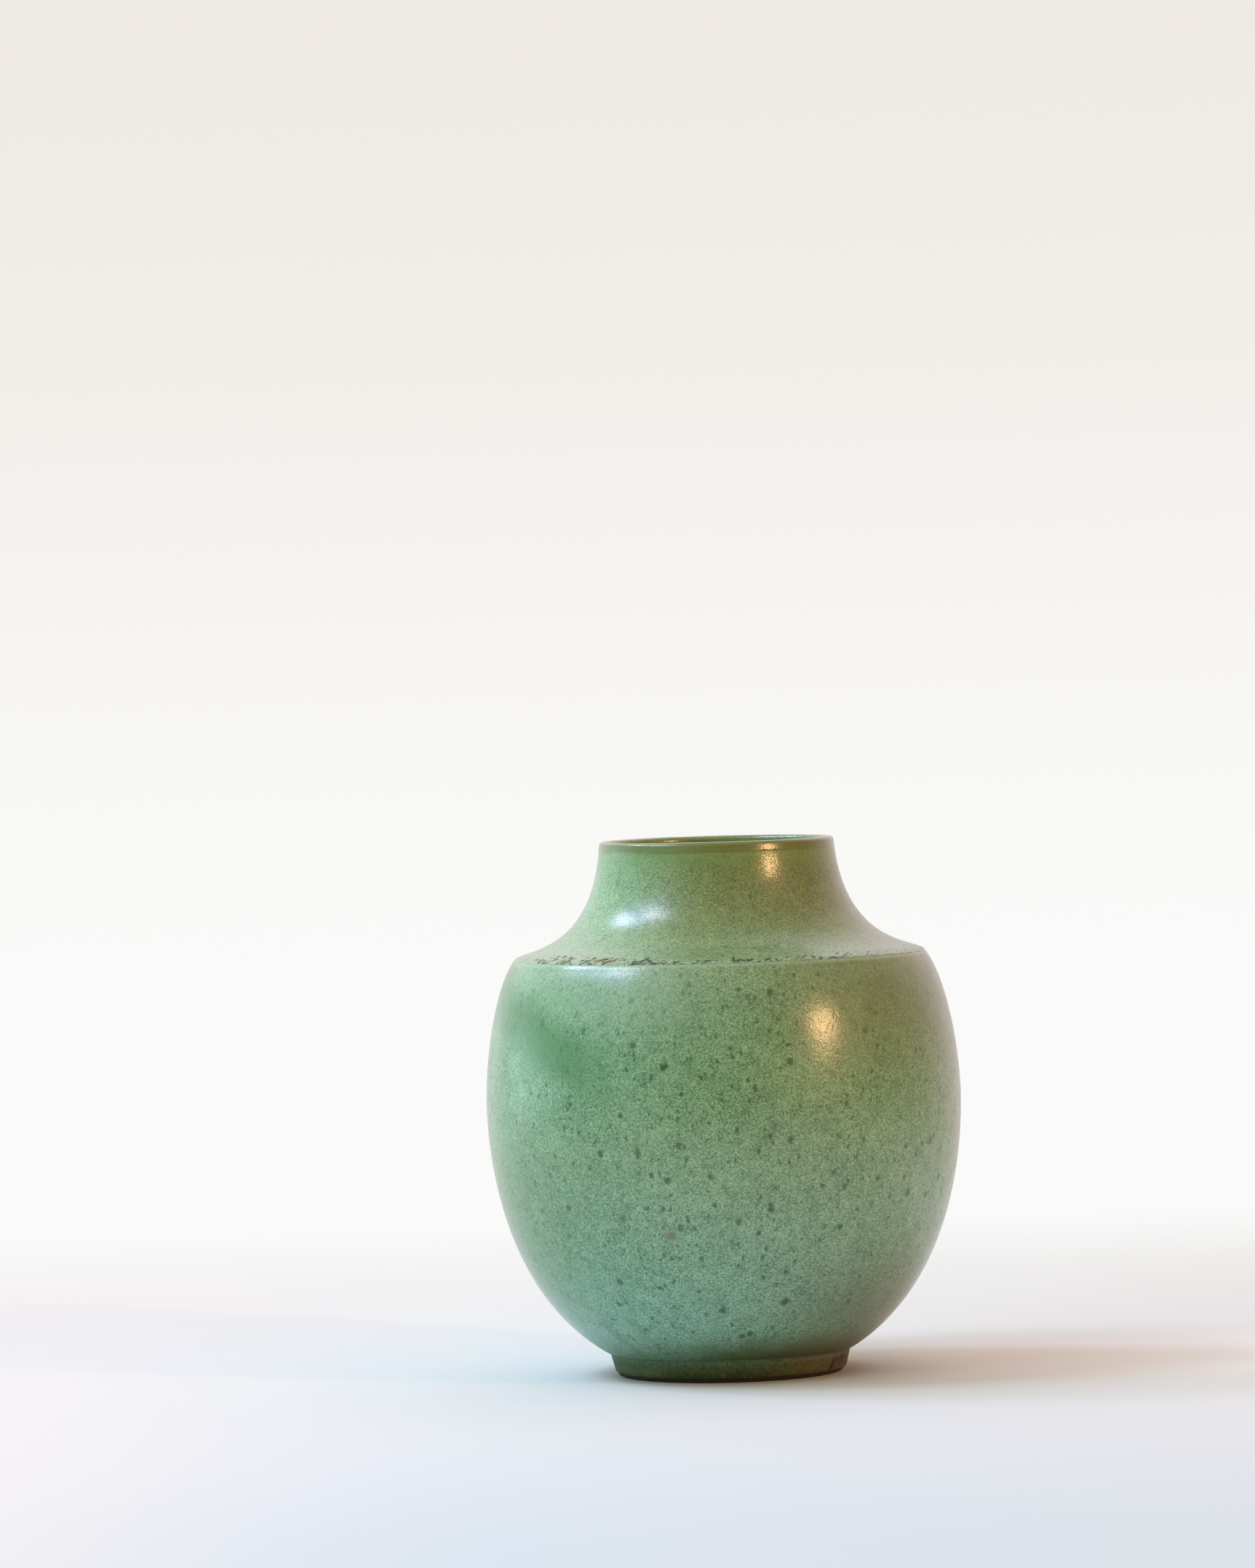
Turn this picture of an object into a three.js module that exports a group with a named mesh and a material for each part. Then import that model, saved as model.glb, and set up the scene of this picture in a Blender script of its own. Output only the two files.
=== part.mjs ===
// A wide-mouthed shouldered stoneware vase, 203 mm tall and 180 mm across.
// It is turned in sections that are luted together (foot ring, belly with its floor, shoulder with
// its neck), and then coated outside, over the rim, round the foot and with a liner inside.
// Units are millimetres, +Z is up, and the foot stands on z = 0 with the vase's axis on Z.

import * as THREE from "three";

// Driving dimensions of the glazed surface: outside from the foot up, then down the inside.
const FOOT_BASE_RADIUS = 43.5;
const FOOT_JOINT_RADIUS = 45;
const FOOT_TOP_RADIUS = 45.4;
const FOOT_TOP_LEVEL = 7.3;
const BELLY_START_RADIUS = 46.9;
const BELLY_START_LEVEL = 8.9;
const BELLY_RADIUS = 90;
const BELLY_LEVEL = 104;
const EDGE_RADIUS = 78;
const EDGE_LEVEL = 159.4;
const EDGE_ROUND = 2.6;
const NECK_RADIUS = 44.8;
const NECK_LEVEL = 199;
const HEIGHT = 203;
const LIP_THICKNESS = 3.3;
const LIP_INSET = 0.2;
const LIP_LEVEL = HEIGHT - LIP_THICKNESS / 2;
const THROAT_LEVEL = 192;
const INNER_EDGE_RADIUS = 73.6;
const INNER_EDGE_LEVEL = 153.6;
const INNER_BELLY_RADIUS = 84.2;
const INNER_FLOOR_RADIUS = 40;
const INNER_FLOOR_LEVEL = 12.6;
const FLOOR_LEVEL = 11.8;

// Slopes of the surface, in degrees above the outward radius.
const FOOT_FLARE = 31;
const UP = 90;
const DOWN = -90;
const EDGE_SLOPE_BELOW = -60;
const EDGE_SLOPE_ABOVE = 157;
const NECK_SLOPE = -84;
const INNER_FLOOR_SLOPE = 24;

// How far each curve holds the slope it leaves at, and the slope it arrives at.
const LOWER_BELLY_REACH = [45, 20];
const UPPER_BELLY_REACH = [13.5, 15.7];
const NECK_REACH = [7, 34];
const INNER_NECK_REACH = [27, 14];
const INNER_UPPER_BELLY_REACH = [15, 16];
const INNER_LOWER_BELLY_REACH = [24, 40];
const FOOT_FILLET_RISE = 1;
const FLOOR_BEND_RADIUS = 30;

// Wall build-up: the coat of glaze, the clearance under it, and the clay behind.
const COAT = 0.6;
const GAP = 0.3;
const UNDER_COAT = COAT + GAP;

// The clay foot ring, eased along both edges of its flat resting face.
const RING_TOP = 5.7;
const UNDERSIDE_LEVEL = RING_TOP + GAP;
const RING_INNER_RADIUS = 35.5;
const REST_INNER_RADIUS = 37.6;
const REST_OUTER_RADIUS = 41.8;
const RING_EASE = 1;
const GLAZE_LINE = 1.5;

const SEGMENTS = 40;
const Y_AXIS_TO_Z = Math.PI / 2;

const at = (radius, level) => new THREE.Vector2(radius, level);

// The point `reach` away from another, along a slope in degrees.
function towards(from, degrees, reach) {
  const angle = THREE.MathUtils.degToRad(degrees);
  return at(from.x + reach * Math.cos(angle), from.y + reach * Math.sin(angle));
}

// A curve between two points that leaves the first and reaches the second along given slopes.
function sweep(start, startSlope, end, endSlope, reach) {
  const leaving = towards(start, startSlope, reach[0]);
  const arriving = towards(end, endSlope, reach[1]);
  return new THREE.CubicBezierCurve(start, leaving, arriving, end);
}

const bend = (start, corner, end) => new THREE.QuadraticBezierCurve(start, corner, end);

// The corners of the glazed surface, in the plane of radius and level.
const LIP_OUTER_RADIUS = NECK_RADIUS - LIP_INSET;
const LIP_INNER_RADIUS = LIP_OUTER_RADIUS - LIP_THICKNESS;
const footBase = at(FOOT_BASE_RADIUS, 0);
const footJoint = at(FOOT_JOINT_RADIUS, RING_TOP + GAP / 2);
const footTop = at(FOOT_TOP_RADIUS, FOOT_TOP_LEVEL);
const footCorner = at(FOOT_TOP_RADIUS, FOOT_TOP_LEVEL + FOOT_FILLET_RISE);
const bellyStart = at(BELLY_START_RADIUS, BELLY_START_LEVEL);
const bellyWidest = at(BELLY_RADIUS, BELLY_LEVEL);
const edge = at(EDGE_RADIUS, EDGE_LEVEL);
const edgeBelow = towards(edge, EDGE_SLOPE_BELOW, EDGE_ROUND);
const edgeAbove = towards(edge, EDGE_SLOPE_ABOVE, EDGE_ROUND);
const edgeBelowHalf = towards(edge, EDGE_SLOPE_BELOW, EDGE_ROUND / 2);
const edgeAboveHalf = towards(edge, EDGE_SLOPE_ABOVE, EDGE_ROUND / 2);
const edgeMiddle = edgeBelowHalf.clone().lerp(edgeAboveHalf, 0.5);
const neckTop = at(NECK_RADIUS, NECK_LEVEL);
const lipOuter = at(LIP_OUTER_RADIUS, LIP_LEVEL);
const lipTop = at(LIP_OUTER_RADIUS - LIP_THICKNESS / 2, HEIGHT);
const lipInner = at(LIP_INNER_RADIUS, LIP_LEVEL);
const throat = at(LIP_INNER_RADIUS, THROAT_LEVEL);
const innerEdge = at(INNER_EDGE_RADIUS, INNER_EDGE_LEVEL);
const innerWidest = at(INNER_BELLY_RADIUS, BELLY_LEVEL);
const innerFloor = at(INNER_FLOOR_RADIUS, INNER_FLOOR_LEVEL);
const floorBend = at(FLOOR_BEND_RADIUS, FLOOR_LEVEL);
const floorCentre = at(0, FLOOR_LEVEL);

// The glazed surface, from the foot up the outside and over the lip, then down to the floor.
const surface = {
  ringSide: new THREE.LineCurve(footBase, footJoint),
  footSide: new THREE.LineCurve(footJoint, footTop),
  footFillet: bend(footTop, footCorner, bellyStart),
  lowerBelly: sweep(bellyStart, FOOT_FLARE, bellyWidest, DOWN, LOWER_BELLY_REACH),
  upperBelly: sweep(bellyWidest, UP, edgeBelow, EDGE_SLOPE_BELOW, UPPER_BELLY_REACH),
  edgeUnder: bend(edgeBelow, edgeBelowHalf, edgeMiddle),
  edgeOver: bend(edgeMiddle, edgeAboveHalf, edgeAbove),
  neck: sweep(edgeAbove, EDGE_SLOPE_ABOVE, neckTop, NECK_SLOPE, NECK_REACH),
  lipSide: new THREE.LineCurve(neckTop, lipOuter),
  lipOutside: bend(lipOuter, at(lipOuter.x, HEIGHT), lipTop),
  lipInside: bend(lipTop, at(lipInner.x, HEIGHT), lipInner),
  throat: new THREE.LineCurve(lipInner, throat),
  innerNeck: sweep(throat, DOWN, innerEdge, EDGE_SLOPE_ABOVE, INNER_NECK_REACH),
  innerUpperBelly: sweep(innerEdge, EDGE_SLOPE_BELOW, innerWidest, UP, INNER_UPPER_BELLY_REACH),
  innerLowerBelly: sweep(innerWidest, DOWN, innerFloor, INNER_FLOOR_SLOPE, INNER_LOWER_BELLY_REACH),
  floor: bend(innerFloor, floorBend, floorCentre),
};

// How many straight steps each curve is divided into.
const steps = {
  ringSide: 1,
  footSide: 1,
  footFillet: 2,
  lowerBelly: 8,
  upperBelly: 5,
  edgeUnder: 1,
  edgeOver: 1,
  neck: 8,
  lipSide: 1,
  lipOutside: 2,
  lipInside: 2,
  throat: 1,
  innerNeck: 6,
  innerUpperBelly: 4,
  innerLowerBelly: 8,
  floor: 2,
};

// The points of a run of curves, moved `depth` into the wall, with `start` and `end` millimetres cut
// off the two ends of the run. The clay lies to the left of the way each curve runs.
function trace(names, depth, start = GAP / 2, end = GAP / 2) {
  const points = [];
  names.forEach((name, index) => {
    const line = surface[name];
    const first = index === 0 ? start / line.getLength() : 0;
    const last = index === names.length - 1 ? 1 - end / line.getLength() : 1;
    for (let step = 0; step <= steps[name]; step++) {
      const u = THREE.MathUtils.lerp(first, last, step / steps[name]);
      const along = line.getTangentAt(u);
      const point = line.getPointAt(u).add(at(-along.y, along.x).multiplyScalar(depth));
      const previous = points[points.length - 1];
      if (previous && step === 0) {
        previous.lerp(point, 0.5);
      } else {
        points.push(point);
      }
    }
  });
  return points;
}

// A named solid of revolution from a profile that closes on itself or ends on the axis.
function turned(name, profile, material) {
  const geometry = new THREE.LatheGeometry(profile, SEGMENTS).rotateX(Y_AXIS_TO_Z);
  const mesh = new THREE.Mesh(geometry, material);
  mesh.name = name;
  return mesh;
}

const closed = (points) => [...points, points[0]];

// A coat of glaze over a run of the surface.
function coat(name, names, material, start, end) {
  const outside = trace(names, 0, start, end);
  const inside = trace(names, COAT, start, end).reverse();
  return turned(name, closed([...outside, ...inside]), material);
}

function footRing(material) {
  const side = trace(["ringSide"], UNDER_COAT, RING_EASE);
  const jointRadius = side[1].x;
  return turned("foot_ring", closed([
    at(REST_INNER_RADIUS, 0),
    at(REST_OUTER_RADIUS, 0),
    side[0],
    at(jointRadius, RING_TOP),
    at(RING_INNER_RADIUS, RING_TOP),
    at(REST_INNER_RADIUS - RING_EASE, RING_EASE),
  ]), material);
}

function bellySection(material) {
  const outside = trace(["footSide", "footFillet", "lowerBelly", "upperBelly", "edgeUnder"], UNDER_COAT);
  const inside = trace(["innerUpperBelly", "innerLowerBelly", "floor"], UNDER_COAT, GAP / 2, 0);
  outside[0].y = UNDERSIDE_LEVEL;
  return turned("belly_section", [at(0, UNDERSIDE_LEVEL), ...outside, ...inside], material);
}

function shoulderNeckSection(material) {
  const names = ["edgeOver", "neck", "lipSide", "lipOutside", "lipInside", "throat", "innerNeck"];
  return turned("shoulder_neck_section", closed(trace(names, UNDER_COAT)), material);
}

// The liner runs from the neck down to the axis, and back along its underside.
function liner(material) {
  const names = ["innerNeck", "innerUpperBelly", "innerLowerBelly", "floor"];
  const underside = trace(names, COAT, GAP / 2, 0).reverse();
  const inside = trace(names, 0, GAP / 2, 0);
  return turned("liner_glaze", [...underside, ...inside], material);
}

const CLAY_ROUGHNESS = 0.85;
const GLAZE_ROUGHNESS = 0.3;
const clay = (color) => new THREE.MeshStandardMaterial({ color, roughness: CLAY_ROUGHNESS });
const glaze = (color) => new THREE.MeshStandardMaterial({ color, roughness: GLAZE_ROUGHNESS });

const vase = new THREE.Group();
vase.name = "shouldered_vase";
vase.add(
  footRing(clay("#8a6244")),
  bellySection(clay("#946b4b")),
  shoulderNeckSection(clay("#9b7350")),
  coat("foot_glaze", ["ringSide", "footSide", "footFillet"], glaze("#4a5a36"), GLAZE_LINE),
  coat("belly_glaze", ["lowerBelly", "upperBelly", "edgeUnder"], glaze("#6f9878")),
  coat("shoulder_glaze", ["edgeOver", "neck"], glaze("#779a74")),
  coat("rim_glaze", ["lipSide", "lipOutside", "lipInside", "throat"], glaze("#76703f")),
  liner(glaze("#6d8a63")),
);

export default vase;
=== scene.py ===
# A shouldered stoneware vase in speckled green glaze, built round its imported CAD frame.
# The glaze coats are closed solids of revolution displaced by seeded noise, over plainer clay solids,
# and every material is procedural. Profiles are drawn in millimetres and meshes are in metres.

import itertools
import math
import random

import bpy
import numpy as np
from mathutils import Matrix, Vector


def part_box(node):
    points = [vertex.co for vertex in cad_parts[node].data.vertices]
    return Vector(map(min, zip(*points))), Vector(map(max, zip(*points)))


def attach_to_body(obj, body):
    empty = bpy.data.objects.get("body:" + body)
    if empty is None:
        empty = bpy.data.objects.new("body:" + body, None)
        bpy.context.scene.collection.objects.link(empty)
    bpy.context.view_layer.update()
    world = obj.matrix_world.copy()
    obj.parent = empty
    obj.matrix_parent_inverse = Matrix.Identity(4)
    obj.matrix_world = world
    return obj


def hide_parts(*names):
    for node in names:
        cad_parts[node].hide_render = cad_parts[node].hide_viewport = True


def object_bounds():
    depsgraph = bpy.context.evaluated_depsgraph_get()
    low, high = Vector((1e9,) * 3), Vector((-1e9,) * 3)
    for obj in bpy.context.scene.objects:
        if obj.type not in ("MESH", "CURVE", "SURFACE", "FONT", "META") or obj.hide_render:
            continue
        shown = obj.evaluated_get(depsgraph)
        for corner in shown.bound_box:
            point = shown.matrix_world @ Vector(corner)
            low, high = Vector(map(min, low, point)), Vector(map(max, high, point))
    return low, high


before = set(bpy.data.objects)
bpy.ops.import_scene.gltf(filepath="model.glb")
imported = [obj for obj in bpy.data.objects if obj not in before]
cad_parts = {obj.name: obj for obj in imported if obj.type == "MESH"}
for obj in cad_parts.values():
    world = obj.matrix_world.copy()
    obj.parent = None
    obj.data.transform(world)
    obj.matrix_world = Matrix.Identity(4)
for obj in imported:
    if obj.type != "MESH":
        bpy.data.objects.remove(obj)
cad_low, cad_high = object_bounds()

MM = 0.001

# ---------------------------------------------------------------- sizes

# From the frame: the vase's height, its largest radius, and the level where belly and shoulder meet.
HEIGHT = cad_high.z / MM
BELLY_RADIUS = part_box("belly_glaze")[1].x / MM
EDGE_JOINT_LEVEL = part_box("shoulder_glaze")[0].z / MM

# How thick a coat is, how deep the clay lies under the glazed surface, how far up the foot its glaze
# starts, and how thick the lip is with its glaze.
COAT = 0.6
UNDER_COAT = 0.65
GLAZE_LINE = 1.5
LIP_THICKNESS = 3.3

WIDEST_LEVEL = 104
NECK_TOP_LEVEL = 199
THROAT_LEVEL = 192
EDGE_RADIUS = 78
EDGE_SOFTENING = 2.6
FOOT_RADIUS = 45
LIP_RADIUS = 44.6

# Slopes of the profile in degrees, from straight out.
FOOT_FLARE = 31
EDGE_SLOPE_BELOW = -60
EDGE_SLOPE_ABOVE = 157
NECK_SLOPE = -84

# ---------------------------------------------------------------- profile of the glazed surface


def at(radius, level):
    return np.array([float(radius), float(level)])


def towards(start, degrees, reach):
    angle = math.radians(degrees)
    return start + reach * np.array([math.cos(angle), math.sin(angle)])


def cubic(a, b, c, d, count=200):
    t = np.linspace(0, 1, count)[:, None]
    return (1 - t) ** 3 * a + 3 * (1 - t) ** 2 * t * b + 3 * (1 - t) * t * t * c + t ** 3 * d


def quadratic(a, b, c, count=60):
    t = np.linspace(0, 1, count)[:, None]
    return (1 - t) ** 2 * a + 2 * (1 - t) * t * b + t * t * c


def line(a, b, count=40):
    t = np.linspace(0, 1, count)[:, None]
    return a + (b - a) * t


foot_base = at(43.5, 0)
foot_top = at(45.4, 7.3)
belly_start = at(46.9, 8.9)
belly_widest = at(BELLY_RADIUS, WIDEST_LEVEL)
edge = at(EDGE_RADIUS, EDGE_JOINT_LEVEL + 0.45)
edge_below = towards(edge, EDGE_SLOPE_BELOW, EDGE_SOFTENING)
edge_above = towards(edge, EDGE_SLOPE_ABOVE, EDGE_SOFTENING)
edge_below_half = towards(edge, EDGE_SLOPE_BELOW, EDGE_SOFTENING / 2)
edge_above_half = towards(edge, EDGE_SLOPE_ABOVE, EDGE_SOFTENING / 2)
edge_middle = (edge_below_half + edge_above_half) / 2
neck_top = at(44.8, NECK_TOP_LEVEL)
lip_outer = at(LIP_RADIUS, HEIGHT - LIP_THICKNESS / 2)
lip_inner = at(LIP_RADIUS - LIP_THICKNESS, HEIGHT - LIP_THICKNESS / 2)
throat = at(lip_inner[0], THROAT_LEVEL)
inner_edge = at(73.6, 153.6)
inner_widest = at(84.2, WIDEST_LEVEL)
inner_floor = at(40, 12.6)
floor_centre = at(0, 11.8)


def lip_arc(count=40):
    """Half a circle over the lip, from its outside to its inside."""
    angles = np.linspace(0, np.pi, count)[:, None]
    centre = (lip_outer + lip_inner) / 2
    return centre + LIP_THICKNESS / 2 * np.hstack([np.cos(angles), np.sin(angles)])


# The surface in the order it runs, from the foot up the outside, over the lip and down the inside.
CURVES = {
    "foot": [
        line(foot_base, foot_top),
        quadratic(foot_top, at(foot_top[0], foot_top[1] + 1), belly_start)],
    "belly": [
        cubic(belly_start, towards(belly_start, FOOT_FLARE, 45),
              towards(belly_widest, -90, 20), belly_widest),
        cubic(belly_widest, towards(belly_widest, 90, 13.5),
              towards(edge_below, EDGE_SLOPE_BELOW, 15.7), edge_below),
        quadratic(edge_below, edge_below_half, edge_middle)],
    "shoulder": [
        quadratic(edge_middle, edge_above_half, edge_above),
        cubic(edge_above, towards(edge_above, EDGE_SLOPE_ABOVE, 7),
              towards(neck_top, NECK_SLOPE, 34), neck_top)],
    "rim": [
        line(neck_top, lip_outer),
        lip_arc(),
        line(lip_inner, throat)],
    "liner": [
        cubic(throat, towards(throat, -90, 27),
              towards(inner_edge, EDGE_SLOPE_ABOVE, 14), inner_edge),
        cubic(inner_edge, towards(inner_edge, EDGE_SLOPE_BELOW, 15),
              towards(inner_widest, 90, 16), inner_widest),
        cubic(inner_widest, towards(inner_widest, -90, 24),
              towards(inner_floor, 24, 40), inner_floor),
        quadratic(inner_floor, at(30, floor_centre[1]), floor_centre)],
}
ORDER = list(CURVES)


def outline(name):
    """One dense polyline for a named run of the surface."""
    parts = [CURVES[name][0]] + [curve[1:] for curve in CURVES[name][1:]]
    return np.vstack(parts)


def lengths(points):
    return np.concatenate([[0], np.cumsum(np.linalg.norm(np.diff(points, axis=0), axis=1))])


def run_length(name):
    return float(lengths(outline(name))[-1])


def resample(points, stations):
    """Points at the given distances along a polyline, run straight on past its ends."""
    along = lengths(points)
    radius = np.interp(stations, along, points[:, 0])
    level = np.interp(stations, along, points[:, 1])
    out = np.stack([radius, level], axis=1)
    before, after = stations < 0, stations > along[-1]
    first = (points[1] - points[0]) / np.linalg.norm(points[1] - points[0])
    last = (points[-1] - points[-2]) / np.linalg.norm(points[-1] - points[-2])
    out[before] = points[0] + stations[before, None] * first
    out[after] = points[-1] + (stations[after, None] - along[-1]) * last
    return out


def neighbourly(name, stations):
    """Points along a run, which carry on along its neighbours past its ends."""
    total = run_length(name)
    out = resample(outline(name), stations)
    place = ORDER.index(name)
    if place > 0:
        before = ORDER[place - 1]
        early = stations < 0
        out[early] = resample(outline(before), run_length(before) + stations[early])
    if place < len(ORDER) - 1:
        late = stations > total
        out[late] = resample(outline(ORDER[place + 1]), stations[late] - total)
    return out


def spaced(start, end, step):
    return np.linspace(start, end, max(2, int(round((end - start) / step)) + 1))


def edge_spaced(total):
    """Stations along the shoulder: close together next to its edge, then wider up the neck."""
    near = np.arange(0, 8.5, 0.36)
    return np.concatenate([near, spaced(9.2, total, 1.9)])


def side_normals(points):
    """Unit normals of a profile, pointing out of the wall: right of the way it runs."""
    tangent = np.gradient(points, axis=0)
    tangent /= np.linalg.norm(tangent, axis=1)[:, None]
    return np.stack([tangent[:, 1], -tangent[:, 0]], axis=1)


# ---------------------------------------------------------------- noise and surface relief

LATTICE = 64
lattice = np.random.default_rng(7).random((LATTICE, LATTICE, LATTICE)) * 2 - 1


def noise(points, size, offset=0.0):
    """Smooth noise from -1 to 1, with features `size` millimetres apart."""
    place = points / size + offset
    cell = np.floor(place).astype(int)
    f = place - cell
    f = f * f * (3 - 2 * f)
    total = np.zeros(points.shape[:-1])
    for corner in itertools.product((0, 1), repeat=3):
        weight = 1.0
        for axis, step in enumerate(corner):
            weight = weight * (f[..., axis] if step else 1 - f[..., axis])
        i, j, k = ((cell[..., axis] + corner[axis]) % LATTICE for axis in range(3))
        total += weight * lattice[i, j, k]
    return total


def smoothstep(low, high, value):
    t = np.clip((value - low) / (high - low), 0, 1)
    return t * t * (3 - 2 * t)


def bulge(distance, middle, width):
    """A rounded bump across a distance, from 0 to 1."""
    return np.exp(-((distance - middle) / width) ** 2)


def radius_of(points):
    return np.hypot(points[..., 0], points[..., 1])


def around(points):
    """The angle of each point round the vase, in degrees: 0 at the front, 90 on the right."""
    return np.degrees(np.arctan2(points[..., 0], -points[..., 1]))


THROWING_PITCH = 8.5


def glaze_relief(points):
    """Height of the glaze over its even coat, in millimetres, at points in millimetres."""
    level = points[..., 2]
    angle = np.arctan2(points[..., 1], points[..., 0])
    turns = level / THROWING_PITCH
    throwing = 0.012 * np.sin(2 * np.pi * turns + angle + 1.5 * noise(points, 60, 3.0))
    throwing *= 0.6 + 0.4 * noise(points, 45, 9.0)
    return (
        throwing
        + 0.09 * noise(points, 38, 1.0)
        + 0.03 * noise(points, 11, 5.0)
        + 0.008 * noise(points, 3.1, 2.0))


def strokes(points, marks):
    """How strongly short strokes cover points of the shoulder, from 0 to 1.

    A stroke is (angle, inset, slant, length, half width, strength): degrees round the vase,
    millimetres in from the shoulder's edge, and degrees from the way round.
    """
    radius = radius_of(points)
    angle, inset = around(points), EDGE_RADIUS - radius
    ragged = 1 + 0.8 * noise(points, 0.8, 4.0)
    cover = np.zeros(points.shape[:-1])
    for mark_angle, mark_inset, slant, length, width, strength in marks:
        turn = (angle - mark_angle + 180) % 360 - 180
        x, y = np.radians(turn) * radius, inset - mark_inset
        c, d = math.cos(math.radians(slant)), math.sin(math.radians(slant))
        along, across = x * c + y * d, y * c - x * d
        past = np.maximum(np.abs(along) - length / 2, 0)
        distance = np.hypot(past, across) / (width * ragged)
        cover = np.maximum(cover, strength * (1 - smoothstep(0.5, 1.35, distance)))
    return cover


# How the crawled strip runs along the front of the shoulder's edge: at each angle, how far in it
# reaches in millimetres, and how thick and dark its marks are.
CRAWL_STRIP = [
    (-80, 6, 0.0), (-66, 9, 0.45), (-56, 10, 0.7), (-46, 9, 0.8), (-37, 7, 0.85), (-29, 6.5, 0.8),
    (-24, 5, 0.6), (-13, 4.4, 0.9), (-6, 3.6, 0.9), (0, 3.6, 0.85), (11, 3.6, 0.8), (18, 3.8, 0.85),
    (26, 4.4, 0.9), (36, 5.5, 0.75), (48, 6.5, 0.6), (60, 5, 0.0)]
CRAWL_SLANT = 34
# Strokes that stand out: an arch with two legs, an upright with a foot, a slanted one, and three
# thin ones next to the brown patches.
CRAWL_MARKS = [
    (-23.2, 2.0, 40, 4.4, 0.60, 1.0), (-21.8, 3.6, 72, 4.4, 0.75, 1.0),
    (-20.2, 3.0, -50, 3.8, 0.60, 1.0), (-21.2, 1.2, 10, 2.6, 0.50, 0.8), (-18.2, 1.0, 4, 2.2, 0.50, 0.9),
    (4.0, 2.9, 84, 3.8, 0.58, 1.0), (7.4, 2.0, 10, 2.2, 0.62, 1.0),
    (24.6, 2.8, 40, 3.2, 0.55, 0.9),
    (-37.0, 3.6, 40, 3.2, 0.40, 0.8), (-33.2, 2.2, 24, 3.2, 0.40, 0.8), (-31.6, 4.0, 52, 2.6, 0.40, 0.8)]
BROWN_PATCHES = [
    (-35, 3.8, 30, 3.8, 1.9, 1.0), (-32.5, 3.0, 10, 3.0, 1.3, 0.9), (-38, 3.0, 8, 2.4, 0.9, 0.7),
    (-50, 4.0, 5, 2.4, 1.0, 0.5)]
# The back of the edge, where small strokes are scattered by chance.
SCATTER_START, SCATTER_END = 55, 290


def crawl_marks():
    chance = random.Random(11)
    marks = list(CRAWL_MARKS)
    angle = SCATTER_START
    while angle < SCATTER_END:
        marks.append((
            angle, 0.6 + 5 * chance.uniform(0, 1) * chance.uniform(0.2, 1), chance.uniform(-20, 25),
            chance.uniform(0.3, 1.8), chance.uniform(0.18, 0.34), chance.uniform(0.2, 0.75)))
        angle += chance.uniform(0.7, 4.6)
    return marks


def crawl_strip(points):
    """Small slanted islands of missing glaze along the front of the shoulder's edge, from 0 to 1."""
    radius, angle = radius_of(points), around(points)
    angles, reaches, tones = zip(*CRAWL_STRIP)
    reach, tone = np.interp(angle, angles, reaches), np.interp(angle, angles, tones)
    x, y = np.radians(angle) * radius, EDGE_RADIUS - radius
    c, d = math.cos(math.radians(CRAWL_SLANT)), math.sin(math.radians(CRAWL_SLANT))
    slanted = np.stack([(x * c + y * d) / 2.1, (y * c - x * d) / 0.85, 0 * x], axis=-1)
    islands = noise(slanted, 1.0, 17.3) + 0.35 * noise(points, 0.8, 4.0)
    islands += 0.35 * (tone - 0.6) - 0.30 * y / reach
    fade = smoothstep(0.05, 0.4, y) * (1 - smoothstep(0.7 * reach, reach, y))
    return smoothstep(0.14, 0.38, islands) * fade * np.clip(1.3 * tone, 0, 1)


def crease(points, start, end, width):
    """How close points come to a line drawn on the belly between two (angle, level) places."""
    radius = radius_of(points)
    x, y = np.radians(around(points)) * radius, points[..., 2]
    x0, x1 = np.radians(start[0]) * radius, np.radians(end[0]) * radius
    dx, dy = x1 - x0, end[1] - start[1]
    t = np.clip(((x - x0) * dx + (y - start[1]) * dy) / (dx * dx + dy * dy), 0, 1)
    away = np.hypot(x - x0 - t * dx, y - start[1] - t * dy) + 0.5 * noise(points, 2.2, 8.0)
    return 1 - smoothstep(0.2 * width, width, away)


def thick_run_and_shade_band(points):
    """A thicker run of glaze that slants down across the left of the belly, from 0 to 1; its colour also
    paints the shade where the reflected haze above it stops.
    """
    angle, level = around(points), points[..., 2]
    middle = 145 - 0.6 * (angle + 75) + 3 * noise(points, 14, 3.5)
    away = np.abs(level - middle)
    along = smoothstep(-100, -78, angle) * (1 - smoothstep(-46, -20, angle))
    return (1 - smoothstep(3, 16, away)) * along


# Each relief below returns heights and the fields that its coat's material reads by name.


def foot_relief(points):
    level, angle = points[..., 2], around(points)
    rolled = np.clip((level - GLAZE_LINE) / 0.8, 0, 1)
    height = glaze_relief(points) - 0.45 * (1 - np.sqrt(1 - (1 - rolled) ** 2))
    ragged = 7 * noise(points, 2.5, 3.0)
    chip = smoothstep(56, 62, angle + ragged) * (1 - smoothstep(78, 86, angle + ragged))
    chip *= smoothstep(1.5, 2.5, level) * (1 - smoothstep(5.6, 7.2, level + ragged / 5))
    from_crack = np.radians(angle - 58) * FOOT_RADIUS + 1.6 * noise(points, 3, 5.0)
    crack = 1 - smoothstep(0.35, 0.9, np.abs(from_crack))
    crack *= 1 - smoothstep(5, 7.5, level)
    height += 0.12 * noise(points, 4.0, 7.0) * (1 - smoothstep(5, 9, level))
    return height - 0.28 * chip - 0.3 * crack, {"chip": chip, "crack": crack}


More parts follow.
